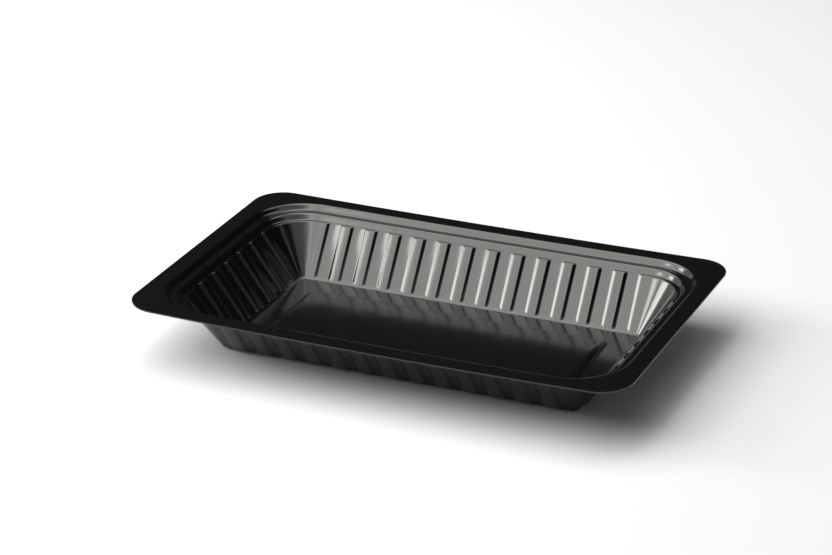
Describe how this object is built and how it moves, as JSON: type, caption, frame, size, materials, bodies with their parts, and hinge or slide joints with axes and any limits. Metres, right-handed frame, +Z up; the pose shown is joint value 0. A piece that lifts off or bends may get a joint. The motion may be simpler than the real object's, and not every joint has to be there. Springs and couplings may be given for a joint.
{
  "type": "snack tray",
  "caption": "Shallow oblong takeaway tray in black plastic, with a flat flange, stepped rim, sloping fluted walls and a raised floor panel.",
  "frame": {"origin": "middle of the tray in plan, on the surface it rests on", "axes": "+X along the tray's length, +Y across it, +Z up out of its open top"},
  "size_m": [0.185, 0.115, 0.0225],
  "materials": {
    "black_plastic": "glossy, as formed"
  },
  "bodies": {
    "root": {"tray": "black_plastic"}
  },
  "joints": []
}
